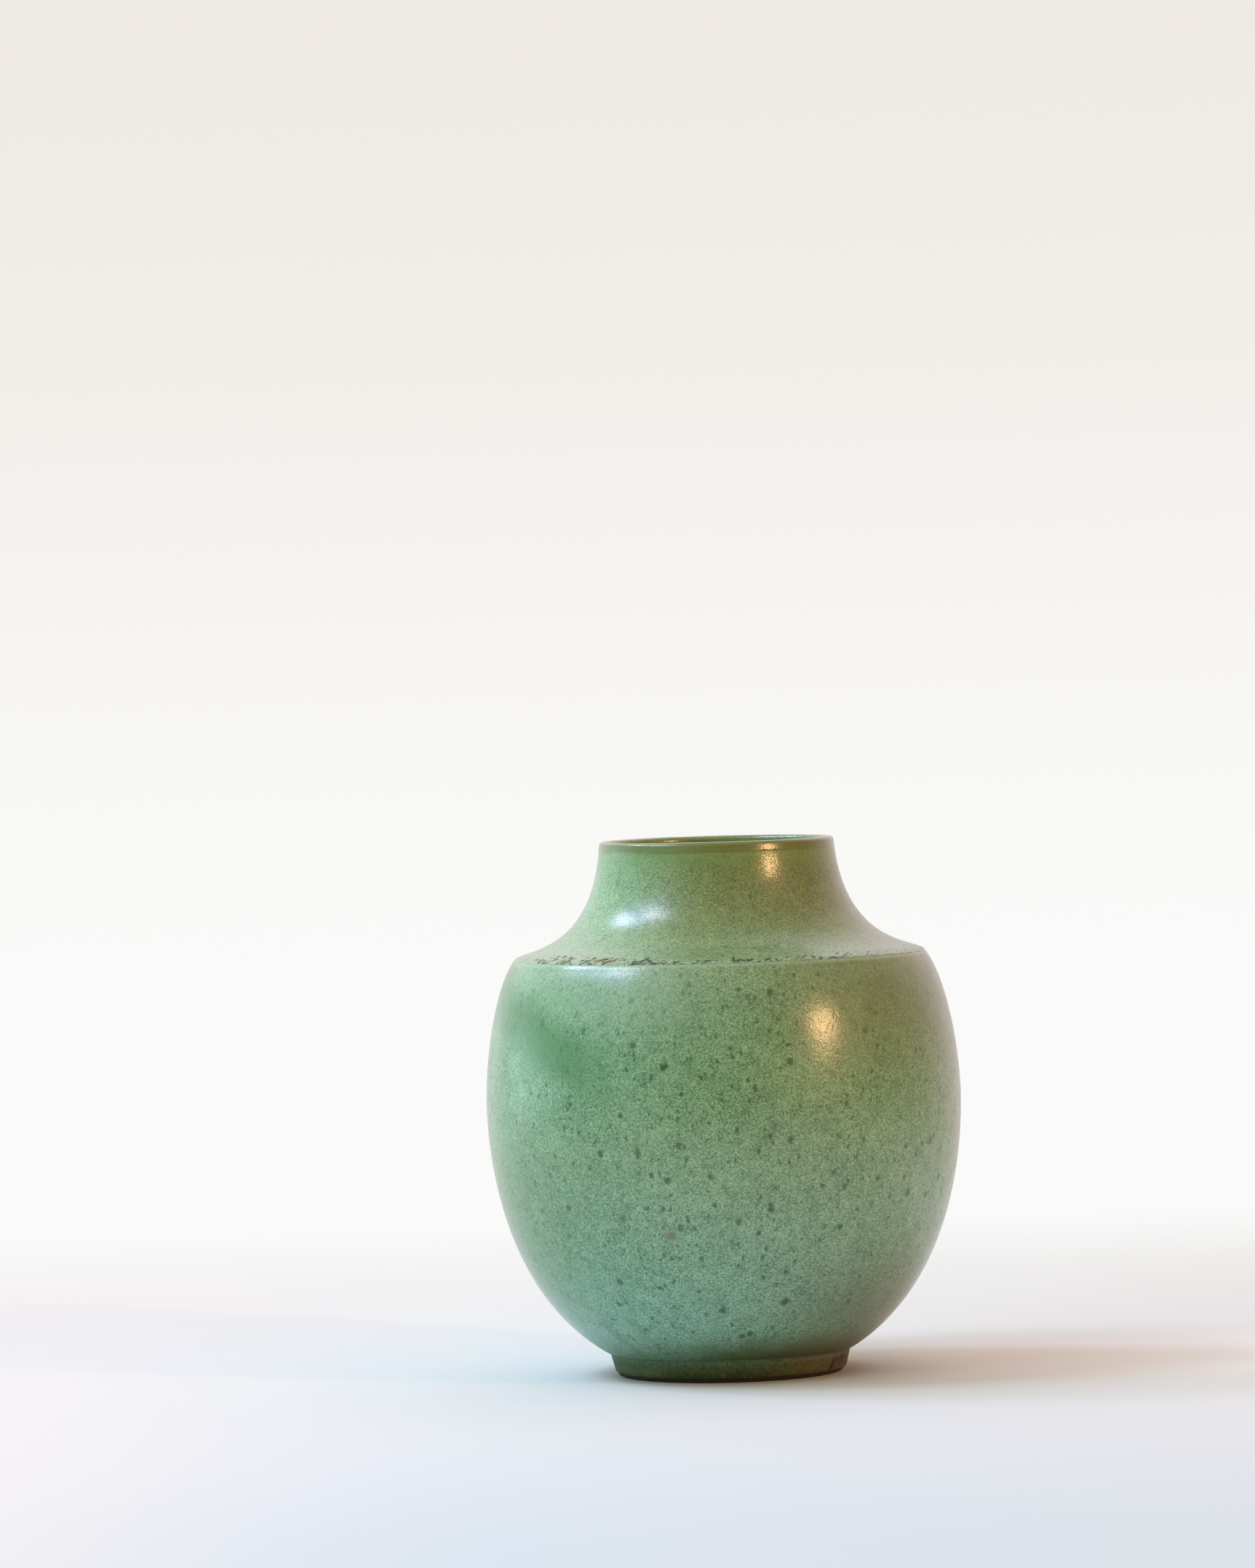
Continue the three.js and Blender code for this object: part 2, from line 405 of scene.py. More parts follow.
def belly_relief(points):
    drag = np.maximum(
        crease(points, (-46, 23), (-41, 10.5), 3.4),
        0.6 * crease(points, (-34, 25), (-29, 15), 2.4))
    inset = EDGE_JOINT_LEVEL - points[..., 2]
    roll = 0.12 * bulge(inset, 0.3, 0.9)
    droop = 0.0075 * np.clip(6 - inset, 0, None) ** 2 * smoothstep(0, 2.2, inset)
    band = thick_run_and_shade_band(points)
    height = glaze_relief(points) + roll - droop - 0.12 * drag + 0.06 * band
    return height, {"crease": drag, "thick": band}


def shoulder_relief(points):
    dark = np.maximum(strokes(points, crawl_marks()), crawl_strip(points))
    brown = strokes(points, BROWN_PATCHES)
    inset = EDGE_RADIUS - radius_of(points)
    roll = 0.22 * bulge(inset, 0.6, 1.1)
    rough = 0.05 * noise(points, 1.7, 6.0) + 0.05 * noise(points, 0.9, 2.5)
    loose = (1 - smoothstep(3, 9, inset)) * rough
    height = glaze_relief(points) + roll + loose - 0.25 * dark - 0.2 * brown
    return height, {"crawl": dark, "crawl_brown": brown}


def rim_relief(points):
    bead = 0.10 * bulge(points[..., 2], HEIGHT - 3.4, 1.0)
    return glaze_relief(points) + bead, {}


def plain_relief(points):
    return glaze_relief(points), {}


def out_of_round(points):
    """How far the thrown wall stands off a true circle, in millimetres."""
    angle = np.arctan2(points[..., 1], points[..., 0])
    level = points[..., 2]
    body = smoothstep(8, 60, level) * (1 - smoothstep(165, HEIGHT, level))
    return body * (0.22 * np.sin(2 * angle + 0.9) + 0.12 * np.sin(3 * angle + level / 60))


# ---------------------------------------------------------------- mesh building


def spin(profile, columns):
    """A grid of points, rows along the profile and columns round the axis."""
    angle = np.linspace(0, 2 * np.pi, columns, endpoint=False)
    radius, level = profile[:, :1], profile[:, 1:]
    return np.stack(
        [radius * np.cos(angle), radius * np.sin(angle), level + 0 * angle], axis=2)


def grid_normals(grid):
    """Normals of a displaced grid that wraps round in its columns, facing out of the wall."""
    along = np.gradient(grid, axis=0)
    across = np.roll(grid, -1, axis=1) - np.roll(grid, 1, axis=1)
    normal = np.cross(across, along)
    return normal / np.maximum(np.linalg.norm(normal, axis=2, keepdims=True), 1e-12)


def skin(name, stations, columns, relief):
    """The displaced surface of a run of the outline, with its normals and its relief's fields.

    One more row is worked out past each end, so that the normals meet the next coat's, and then
    left out.
    """
    first_step, last_step = stations[1] - stations[0], stations[-1] - stations[-2]
    longer = np.concatenate([[stations[0] - first_step], stations, [stations[-1] + last_step]])
    profile = neighbourly(name, longer)
    base = spin(profile, columns)
    normal = spin(side_normals(profile), columns)
    height, fields = relief(base)
    radial = base * np.array([1, 1, 0])
    radial /= np.maximum(np.linalg.norm(radial, axis=2, keepdims=True), 1e-9)
    moved = base + normal * height[..., None] + radial * out_of_round(base)[..., None]
    inner = slice(1, -1)
    fields = {key: field[inner] for key, field in fields.items()}
    return moved[inner], grid_normals(moved)[inner], fields


def back_rows(name, stations, columns):
    """The underside of a coat, as rows that run back along the outline."""
    profile = resample(outline(name), stations)
    return spin((profile - side_normals(profile) * COAT)[::-1], columns)


def build(name, rows, normals=None, on_axis=False, fields=None):
    """A closed solid from rows of points, which wrap into a ring or else start and end on the axis."""
    height, columns = rows.shape[:2]
    vertices = rows.reshape(-1, 3)
    index = np.arange(height * columns).reshape(height, columns)
    pairs = [(i, i + 1) for i in range(height - 1)]
    if not on_axis:
        pairs.append((height - 1, 0))
    quads = []
    for low, high in pairs:
        a, d = index[low], index[high]
        b, c = np.roll(a, -1), np.roll(d, -1)
        quads.append(np.stack([a, b, c, d], axis=1))
    faces = np.vstack(quads).tolist()
    if on_axis:
        vertices = np.vstack([vertices, rows[0].mean(axis=0), rows[-1].mean(axis=0)])
        first_tip, last_tip = height * columns, height * columns + 1
        for near, far in zip(index[0].tolist(), np.roll(index[0], -1).tolist()):
            faces.append([first_tip, far, near])
        for near, far in zip(index[-1].tolist(), np.roll(index[-1], -1).tolist()):
            faces.append([last_tip, near, far])
    mesh = bpy.data.meshes.new(name)
    mesh.from_pydata((vertices * MM).tolist(), [], faces)
    mesh.update()
    mesh.shade_smooth()
    for key, field in (fields or {}).items():
        layer = mesh.attributes.new(key, "FLOAT", "POINT")
        data = np.zeros(len(vertices), dtype=np.float32)
        data[:field.size] = field.reshape(-1)
        layer.data.foreach_set("value", data)
    if normals is not None:
        given = np.zeros((len(vertices), 3))
        given[:normals.size // 3] = normals.reshape(-1, 3)
        mesh.normals_split_custom_set_from_vertices(given.tolist())
    piece = bpy.data.objects.new(name, mesh)
    bpy.context.scene.collection.objects.link(piece)
    return piece


# ---------------------------------------------------------------- node trees

WOBBLE_SIZE = 1.9
WOBBLE_REACH = 2.6


class Nodes:
    """Short calls that add nodes to a material's or the world's node tree."""

    def __init__(self, tree):
        self.nodes, self.links = tree.nodes, tree.links

    def wire(self, value, socket):
        if isinstance(value, bpy.types.NodeSocket):
            self.links.new(value, socket)
        else:
            socket.default_value = value

    def math(self, operation, a, b=0.0):
        node = self.nodes.new("ShaderNodeMath")
        node.operation = operation
        self.wire(a, node.inputs[0])
        self.wire(b, node.inputs[1])
        return node.outputs[0]

    def times(self, first, *others):
        for other in others:
            first = self.math("MULTIPLY", first, other)
        return first

    def ramp(self, value, low, high, start=0.0, end=1.0):
        node = self.nodes.new("ShaderNodeMapRange")
        node.interpolation_type = "SMOOTHSTEP"
        for socket, given in zip(node.inputs, (value, low, high, start, end)):
            self.wire(given, socket)
        return node.outputs[0]

    def mix(self, factor, a, b, blend="MIX"):
        node = self.nodes.new("ShaderNodeMix")
        node.data_type = "RGBA"
        node.blend_type = blend
        self.wire(factor, node.inputs["Factor"])
        self.wire((*a, 1) if isinstance(a, tuple) else a, node.inputs[6])
        self.wire((*b, 1) if isinstance(b, tuple) else b, node.inputs[7])
        return node.outputs[2]


class Material(Nodes):
    """A material with one Principled shader, drawn from places on the vase in millimetres."""

    def __init__(self, name):
        self.material = bpy.data.materials.new(name)
        self.material.use_nodes = True
        super().__init__(self.material.node_tree)
        self.shader = self.nodes["Principled BSDF"]
        place = self.nodes.new("ShaderNodeTexCoord").outputs["Object"]
        self.place = self.vector("SCALE", place, scale=1 / MM)

    def vector(self, operation, a, b=None, scale=None):
        node = self.nodes.new("ShaderNodeVectorMath")
        node.operation = operation
        self.wire(a, node.inputs[0])
        if b is not None:
            self.wire(b, node.inputs[1])
        if scale is not None:
            self.wire(scale, node.inputs["Scale"])
        scalar = operation in ("LENGTH", "DISTANCE", "DOT_PRODUCT")
        return node.outputs["Value" if scalar else "Vector"]

    def reach(self, direction):
        """How far the shaded point lies in a direction from the middle of the foot."""
        return self.vector("DOT_PRODUCT", self.place, direction)

    def level(self):
        return self.reach((0, 0, 1))

    def side(self):
        """How far the shaded point lies to the right of the axis."""
        return self.reach((1, 0, 0))

    def radius(self):
        return self.vector("LENGTH", self.vector("MULTIPLY", self.place, (1, 1, 0)))

    def noise(self, size, detail=2.0, roughness=0.5, shift=(0, 0, 0)):
        """Noise from 0 to 1 with features about `size` millimetres apart."""
        node = self.nodes.new("ShaderNodeTexNoise")
        self.links.new(self.vector("ADD", self.place, shift), node.inputs["Vector"])
        node.inputs["Scale"].default_value = 1 / size
        node.inputs["Detail"].default_value = detail
        node.inputs["Roughness"].default_value = roughness
        return node.outputs["Fac"]

    def swayed_level(self, size, detail, roughness, reach):
        """The level, raised unevenly by noise of up to `reach` millimetres."""
        return self.math("ADD", self.level(), self.times(self.noise(size, detail, roughness), reach))

    def wobbled_place(self):
        """The place pushed about by noise, so that what is drawn on it has an uneven edge."""
        node = self.nodes.new("ShaderNodeTexNoise")
        self.links.new(self.vector("ADD", self.place, (11, 5, 2)), node.inputs["Vector"])
        node.inputs["Scale"].default_value = 1 / WOBBLE_SIZE
        push = self.vector("SUBTRACT", node.outputs["Color"], (0.5, 0.5, 0.5))
        return self.vector("ADD", self.place, self.vector("SCALE", push, scale=WOBBLE_REACH))

    def flecks(self, cell, smallest, largest, share, place=None, shift=(0, 0, 0)):
        """Soft round flecks: one in some cells `cell` millimetres wide, 1 at a fleck's middle."""
        node = self.nodes.new("ShaderNodeTexVoronoi")
        self.links.new(self.vector("ADD", place or self.place, shift), node.inputs["Vector"])
        node.inputs["Scale"].default_value = 1 / cell
        split = self.nodes.new("ShaderNodeSeparateColor")
        self.links.new(node.outputs["Color"], split.inputs[0])
        radius = self.ramp(split.outputs[0], 0, 1, smallest, largest)
        distance = self.math("DIVIDE", self.times(node.outputs["Distance"], cell), radius)
        spot = self.ramp(distance, 0.35, 1.15, 1, 0)
        return self.times(spot, self.math("LESS_THAN", split.outputs[1], share))

    def value(self, name):
        """A field that the mesh carries."""
        node = self.nodes.new("ShaderNodeAttribute")
        node.attribute_name = name
        return node.outputs["Fac"]

    def bump(self, height, distance, strength):
        node = self.nodes.new("ShaderNodeBump")
        node.inputs["Distance"].default_value = distance * MM
        node.inputs["Strength"].default_value = strength
        self.links.new(height, node.inputs["Height"])
        self.links.new(node.outputs[0], self.shader.inputs["Normal"])
        if self.shader.inputs["Coat Weight"].default_value > 0:
            self.links.new(node.outputs[0], self.shader.inputs["Coat Normal"])


# ---------------------------------------------------------------- glaze

PALE_GREEN = (0.250, 0.440, 0.210)
DEEP_GREEN = (0.200, 0.385, 0.175)
MOTTLE_GREEN = (0.075, 0.190, 0.075)
GRAIN_DARK = (0.055, 0.160, 0.055)
GRAIN_PALE = (0.430, 0.640, 0.370)
NECK_CALM = (0.190, 0.345, 0.165)
FLECK_GREEN = (0.010, 0.082, 0.011)
RUSTY = (0.150, 0.120, 0.055)

# Painted reflection of the bluish floor on the lower glaze.
LOW_FLOOR_REFLECTION_TINT = (0.88, 1.04, 1.52)
BODY_TINT = (0.86, 0.90, 0.90)
NECK_TINT = (0.83, 0.64, 0.42)
# Painted sheen on the lit left side of the neck.
NECK_LEFT_SHEEN_TINT = (1.26, 1.12, 1.12)

# Deep green for the crease and the thicker band, also used for painted shade.
DEEP_GLAZE_AND_SHADE_GREEN = (0.070, 0.210, 0.055)
# Pale for glaze thinning at the edges, also used for painted sheen and reflected haze.
THIN_GLAZE_AND_SHEEN_PALE = (0.340, 0.480, 0.290)
OLIVE = (0.150, 0.185, 0.045)
OLIVE_GREEN = (0.190, 0.300, 0.085)
# Olive for the painted shade low on the belly's right.
LOW_RIGHT_SHADE_OLIVE = (0.080, 0.090, 0.024)
LOW_BROWN = (0.085, 0.080, 0.024)
FOOT_DARK = (0.030, 0.042, 0.013)
FOOT_GREEN = (0.064, 0.092, 0.024)
FOOT_BROWN = (0.130, 0.095, 0.035)
FOOT_PALE = (0.150, 0.150, 0.060)
CHIP_BROWN = (0.060, 0.042, 0.016)
GRIT_BROWN = (0.060, 0.075, 0.025)
OCHRE = (0.190, 0.150, 0.035)
CRAWL_DARK = (0.006, 0.030, 0.008)

FULL_COAT = 0.8
# The kinds of fleck: cell, smallest and largest radius, strength, and shift of their pattern.
FLECK_KINDS = [
    (1.9, 0.34, 0.62, 0.50, (0, 0, 0)),
    (3.0, 0.50, 1.0, 0.76, (5, 5, 5)),
    (7.0, 0.9, 1.6, 0.80, (9, 1, 4))]
# The larger flecks on the front of the belly: angle, level, and radius in millimetres.
LARGE_FLECKS = [
    (-39, 141, 1.4), (-36, 135, 1.9), (-22, 130, 1.8), (-14, 122, 2.2), (-31, 90, 1.9), (-21, 89, 1.7),
    (-18, 82, 1.4), (-14, 80, 1.8), (-15, 50, 1.2), (-32, 41, 2.2), (-20, 39, 1.4), (-7, 50, 1.4),
    (7, 20, 1.8), (17, 32, 2.2), (16, 44, 1.5), (8, 59, 1.6), (11, 68, 1.8), (16, 129, 1.2),
    (20, 129, 1.1), (32, 141, 1.1), (3, 98, 1.3), (8, 90, 1.4), (29, 107, 1.1), (-10, 112, 1.1),
    (24, 76, 1.3), (-25, 104, 1.3), (13, 85, 1.2), (-3, 70, 1.3), (30, 60, 1.4), (-28, 60, 1.2),
    (-35, 32, 1.4), (-30, 22, 1.2), (-28, 12, 1.2), (-13, 21, 1.1), (-41, 26, 1.2), (-29, 16, 1.1)]
RUSTY_FLECKS = [(-14.6, 59, 2.6), (-15.5, 63.5, 1.6), (27, 118, 1.5)]


def belly_place(angle, level):
    """A point on the outside of the belly, in millimetres, at an angle from the front."""
    run = outline("belly")
    radius = float(np.interp(level, run[:, 1], run[:, 0]))
    turn = math.radians(angle)
    return (radius * math.sin(turn), -radius * math.cos(turn), level)


def mottled_greens(look):
    """Clouds of two greens under a mottle and a fine grain, calmer up the neck."""
    clouds = look.noise(34, 2.0, 0.5, shift=(3, 8, 1))
    colour = look.mix(look.ramp(clouds, 0.3, 0.7), PALE_GREEN, DEEP_GREEN)
    mottle = look.noise(5.5, 4.0, 0.75, shift=(7, 7, 7))
    colour = look.mix(look.ramp(mottle, 0.44, 0.70, 0.0, 0.60), colour, MOTTLE_GREEN)
    colour = look.mix(look.ramp(mottle, 0.46, 0.30, 0.0, 0.35), colour, GRAIN_PALE)
    grain = look.noise(0.75, 3.0, 1.0)
    colour = look.mix(look.ramp(grain, 0.49, 0.62, 0.0, 1.0), colour, GRAIN_DARK)
    colour = look.mix(look.ramp(grain, 0.49, 0.37, 0.0, 0.85), colour, GRAIN_PALE)
    return look.mix(look.ramp(look.level(), 160, 174, 0.0, 0.2), colour, NECK_CALM)


def fleck_cover(look, wobbled, density, placed):
    """Flecks of every kind in uneven crowds, and the placed ones, fainter up the neck."""
    stretched = look.vector("MULTIPLY", wobbled, (1, 1, 0.7))
    crowd = look.noise(22, 2.0, 0.5, shift=(40, 3, 9))
    share = look.ramp(crowd, 0.34, 0.60, 0.18 * density, 1.0 * density)
    cover = 0.0
    for cell, smallest, largest, strength, shift in FLECK_KINDS:
        kind = look.flecks(cell, smallest, largest, share, stretched, shift)
        cover = look.math("MAXIMUM", cover, look.times(kind, strength))
    for angle, level, radius in placed:
        distance = look.vector("DISTANCE", wobbled, belly_place(angle, level))
        cover = look.math("MAXIMUM", cover, look.ramp(distance, 0.25 * radius, 1.1 * radius, 0.9, 0))
    return look.times(cover, look.ramp(look.level(), 162, 174, 1.0, 0.4))


def tint(look):
    """Bluer low down as a painted reflection of the bluish floor, and browner up the neck except on its
    left, which is painted lighter as the lit side.
    """
    # Painted reflection: bluer towards the bottom.
    body = look.mix(look.ramp(look.level(), 10, 100), LOW_FLOOR_REFLECTION_TINT, BODY_TINT)
    # Painted sheen: the neck's left, the lit side, drawn lighter.
    neck = look.mix(look.ramp(look.side(), -42, -8), NECK_LEFT_SHEEN_TINT, NECK_TINT)
    return look.mix(look.ramp(look.level(), 141, 183), body, neck)


def glaze_material(
        name, roughness, coat_roughness, density, accents=None, coat=FULL_COAT, placed=(), rusty=()):
    """Mottled semi-gloss glaze: speckled greens, tinted by height with some painted reflection and
    sheen, with a coat's own accents.
    """
    look = Material(name)
    wobbled = look.wobbled_place()
    spots = fleck_cover(look, wobbled, density, placed)
    colour = look.mix(spots, mottled_greens(look), FLECK_GREEN)
    for angle, level, radius in rusty:
        distance = look.vector("DISTANCE", wobbled, belly_place(angle, level))
        colour = look.mix(look.ramp(distance, 0.2 * radius, 1.2 * radius, 0.6, 0), colour, RUSTY)
    colour = look.mix(1.0, colour, tint(look), "MULTIPLY")
    if accents:
        colour = accents(look, colour)
    look.links.new(colour, look.shader.inputs["Base Color"])
    cloudy = look.noise(5, 2.0, shift=(2, 2, 2))
    rough = look.ramp(cloudy, 0.3, 0.7, roughness - 0.03, roughness + 0.03)
    look.links.new(rough, look.shader.inputs["Roughness"])
    look.shader.inputs["IOR"].default_value = 1.5
    look.shader.inputs["Coat Weight"].default_value = coat
    look.shader.inputs["Coat Roughness"].default_value = coat_roughness
    peel = look.math("ADD", look.noise(1.3, 3.0, 0.8), look.times(spots, -0.4))
    look.bump(peel, 0.085, 0.9)
    return look


def foot_accents(look, colour):
    """Darker along the foot's lower half, as pooled glaze and painted shade under the belly's overhang,
    highest at the front, and browner to the right.
    """
    side = look.side()
    away = look.math("ABSOLUTE", look.math("ADD", side, 4.0))
    level = look.math("SUBTRACT", look.swayed_level(6, 4.0, 0.7, 5.0), 2.5)
    level = look.math("ADD", level, look.ramp(away, 8, 36, 0.0, 3.4))
    low_foot_glaze_and_shade = look.mix(look.ramp(side, 10, 34), FOOT_GREEN, FOOT_BROWN)
    # Darker low on the foot: partly pooled glaze and partly painted shade under the belly's overhang.
    colour = look.mix(look.ramp(look.level(), 10.5, 5.5, 0.45, 0.95), colour, low_foot_glaze_and_shade)
    colour = look.mix(look.ramp(level, 2.4, 6.6, 0.95, 0.0), colour, FOOT_DARK)
    speckle = look.noise(1.3, 3.0, 0.9, shift=(6, 2, 8))
    colour = look.mix(look.ramp(speckle, 0.50, 0.64, 0.0, 0.60), colour, FOOT_DARK)
    colour = look.mix(look.ramp(speckle, 0.50, 0.36, 0.0, 0.45), colour, FOOT_PALE)
    ragged = look.times(look.value("chip"), look.ramp(speckle, 0.36, 0.56, 0.45, 1.0))
    colour = look.mix(look.times(ragged, 0.9), colour, CHIP_BROWN)
    return look.mix(look.value("crack"), colour, FOOT_DARK)


def belly_accents(look, colour):
    """Paler at the upper left as a painted reflected haze, darker over the foot, and painted shade at
    three places round the sides.
    """
    side, level, thick = look.side(), look.level(), look.value("thick")
    # Painted reflection: a pale haze on the upper left of the belly, stopping at the slanting band.
    pale = look.times(look.ramp(level, 122, 148, 0.0, 0.34), look.ramp(side, 22, -34))
    colour = look.mix(look.times(pale, look.math("SUBTRACT", 1.0, thick)), colour, THIN_GLAZE_AND_SHEEN_PALE)
    low = look.ramp(look.swayed_level(9, 3.0, 0.6, 6.0), 12, 25, 0.96, 0.0)
    low = look.times(low, look.ramp(side, -34, 14, 0.45, 1.0))
    colour = look.mix(low, colour, look.mix(look.ramp(side, 0, 34), FOOT_GREEN, LOW_BROWN))
    colour = look.mix(look.times(look.value("crease"), 0.55), colour, DEEP_GLAZE_AND_SHADE_GREEN)
    # The slanting band: raised a little as a thicker run, and painted darker as the shade below the
    # reflected haze.
    colour = look.mix(look.times(thick, 0.72), colour, DEEP_GLAZE_AND_SHADE_GREEN)
    facing = look.reach((0.97, -0.25, 0))
    # Painted shade low on the right, where the floor beside the belly lies in the cast shadow.
    painted_shade_low_right = look.times(look.ramp(facing, 22, 70), look.ramp(level, 66, 14), 0.68)
    colour = look.mix(painted_shade_low_right, colour, LOW_RIGHT_SHADE_OLIVE)
    # Painted shade low on the left of the belly.
    painted_shade_low_left = look.times(look.ramp(facing, -24, -72), look.ramp(level, 112, 50), 0.52)
    colour = look.mix(painted_shade_low_left, colour, DEEP_GLAZE_AND_SHADE_GREEN)
    # Painted shade: the upper right drawn darker and olive, standing in for the dimmer warm light on
    # that side.
    painted_shade_upper_right = look.times(look.ramp(facing, 20, 75), look.ramp(level, 105, 140), 0.5)
    colour = look.mix(painted_shade_upper_right, colour, OLIVE)
    return look.mix(look.ramp(level, 157.2, 158.6, 0.0, 0.45), colour, THIN_GLAZE_AND_SHEEN_PALE)


def shoulder_accents(look, colour):
    """Pale and gritty next to the edge, paler still on the lit left as painted sheen, with the crawled
    marks, and olive under the lip.
    """
    grit = look.flecks(1.8, 0.40, 0.80, 0.8, shift=(4, 9, 2))
    outer = look.ramp(look.level(), 161.5, 169.0, 1.0, 0.0)
    side = look.side()
    # Paler next to the edge where the glaze thins, and far paler on the lit left as painted sheen.
    colour = look.mix(look.times(outer, look.ramp(side, -30, -66, 0.10, 0.7)), colour, THIN_GLAZE_AND_SHEEN_PALE)
    gritty = look.times(outer, look.ramp(side, -20, 45, 0.6, 0.85))
    colour = look.mix(look.times(grit, gritty), colour, GRIT_BROWN)
    colour = look.mix(look.times(look.value("crawl_brown"), 0.85), colour, OCHRE)
    fray = look.ramp(look.noise(0.6, 2.0), 0.3, 0.7, -0.18, 0.18)
    ragged = look.math("ADD", look.value("crawl"), fray)
    colour = look.mix(look.ramp(ragged, 0.15, 0.6, 0.0, 0.96), colour, CRAWL_DARK)
    return look.mix(look.ramp(look.level(), 189.0, 199.5, 0.0, 0.55), colour, OLIVE_GREEN)


def rim_accents(look, colour):
    """Olive-brown over the outside of the lip, and greener inside it."""
    radius = look.radius()
    outside = look.ramp(radius, 43.5, 44.0)
    brown = look.ramp(look.swayed_level(5, 3.0, 0.6, 2.0), 198.4, 201.6, 0.30, 0.92)
    colour = look.mix(look.times(brown, outside), colour, OLIVE)
    return look.mix(look.ramp(radius, 43.9, 43.2, 0.0, 0.4), colour, OLIVE_GREEN)


# ---------------------------------------------------------------- clay

CLAY = (0.230, 0.130, 0.075)
OUTER_RING_DARK_CLAY = (0.030, 0.022, 0.010)


def clay_material(name):
    """Bare fired clay with iron specks, darker next to the glaze."""
    look = Material(name)
    grain = look.noise(0.7, 3.0, 0.7)
    cloud = look.noise(16, 2.0)
    tone = look.mix(look.ramp(cloud, 0.3, 0.7, 0, 0.6), CLAY, tuple(0.7 * c for c in CLAY))
    tone = look.mix(look.ramp(grain, 0.5, 0.75, 0, 0.5), tone, tuple(0.45 * c for c in CLAY))
    iron = look.flecks(2.2, 0.12, 0.4, 0.35, shift=(3, 3, 1))
    tone = look.mix(look.times(iron, 0.7), tone, FOOT_DARK)
    # Darker from about 41 mm out from the axis, next to the glaze.
    tone = look.mix(look.ramp(look.radius(), 40.8, 42.5), tone, OUTER_RING_DARK_CLAY)
    look.links.new(tone, look.shader.inputs["Base Color"])
    look.shader.inputs["Roughness"].default_value = 0.85
    look.bump(grain, 0.12, 0.8)
    return look


# ---------------------------------------------------------------- pieces

RING_TOP = 5.7
RECESS_RADIUS = 35.5
RECESS_LEVEL = 6.0
CLAY_STEP = 3.0
CLAY_COLUMNS = 240


def attach(piece, node, look):
    piece.data.materials.append(look.material)
    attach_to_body(piece, "root")
    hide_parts(node)


def coat(run, look, columns, stations, back_step, relief, on_axis=False):
    """A glaze coat: its displaced surface and a plain back, joined into a closed solid."""
    surface, normals, fields = skin(run, stations, columns, relief)
    back = back_rows(run, spaced(stations[0], stations[-1], back_step), columns)
    if on_axis:
        rows, normals = np.vstack([back, surface]), np.vstack([np.zeros_like(back), normals])
    else:
        rows = np.vstack([surface, back])
    piece = build(run + "_coat", rows, normals=normals, on_axis=on_axis, fields=fields)
    attach(piece, run + "_glaze", look)


def glaze_coats():
    foot = glaze_material("foot_glaze", 0.60, 0.40, 0.6, foot_accents, coat=0.0)
    foot.shader.inputs["Specular IOR Level"].default_value = 0.25
    coat("foot", foot, 720, spaced(GLAZE_LINE, run_length("foot"), 0.3), 2.0, foot_relief)

    belly = glaze_material(
        "belly_glaze", 0.40, 0.15, 1.0, belly_accents, placed=LARGE_FLECKS, rusty=RUSTY_FLECKS)
    dull_over_foot = belly.ramp(belly.level(), 9, 22, 0.1, FULL_COAT)
    belly.links.new(dull_over_foot, belly.shader.inputs["Coat Weight"])
    coat("belly", belly, 540, spaced(0, run_length("belly"), 1.2), 6.0, belly_relief)

    shoulder = glaze_material("shoulder_glaze", 0.34, 0.13, 0.28, shoulder_accents, coat=0.65)
    coat("shoulder", shoulder, 1200, edge_spaced(run_length("shoulder")), 6.0, shoulder_relief)

    rim = glaze_material("rim_glaze", 0.28, 0.15, 0.2, rim_accents)
    coat("rim", rim, 480, spaced(0, run_length("rim"), 0.3), 1.0, rim_relief)

    # The liner stops just short of the axis, where a single point closes each of its sides.
    liner = glaze_material("liner_glaze", 0.32, 0.16, 0.3)
    liner_end = run_length("liner") - 0.8
    coat("liner", liner, 320, spaced(0, liner_end, 1.4), 6.0, plain_relief, on_axis=True)


def foot_ring(look):
    """The clay ring that the vase rests on, with softened corners and a slightly tapered inside."""
    profile = np.array([
        [37.6, 0], [41.8, 0], [42.6, 0.4], [42.9, 1.0], [44.1, RING_TOP],
        [RECESS_RADIUS, RING_TOP], [36.6, 1.0], [36.9, 0.4]])
    attach(build("foot_ring_clay", spin(profile, 480)), "foot_ring", look)


def under_coat(run, start, end, step):
    """The clay's profile under the coat of a run, between two distances along it."""
    points = resample(outline(run), spaced(start, end, step))
    return points - side_normals(points) * UNDER_COAT


def trimmed_floor():
    """The recessed underside inside the foot: slightly domed, with shallow turned grooves."""
    radius = np.concatenate([np.arange(2.0, 36.0, 0.8), [44.0]])
    dome = 0.9 * np.clip(1 - (radius / RECESS_RADIUS) ** 2, 0, None)
    groove = 0.12 * (1 + np.sin(radius * 2.1 + 0.02 * radius ** 2)) * (radius < 35)
    return np.stack([radius, RECESS_LEVEL + dome + groove], axis=1)


def clay_wall(name, node, outer, inner, floor_rows, look):
    """A clay section: up under its outer runs and back down its inner one, over any floor."""
    rows = [under_coat(run, start, end, min(CLAY_STEP, (end - start) / 6)) for run, start, end in outer]
    rows.append(under_coat(*inner, CLAY_STEP))
    piece = build(name, spin(np.vstack(floor_rows + rows), CLAY_COLUMNS), on_axis=bool(floor_rows))
    attach(piece, node, look)


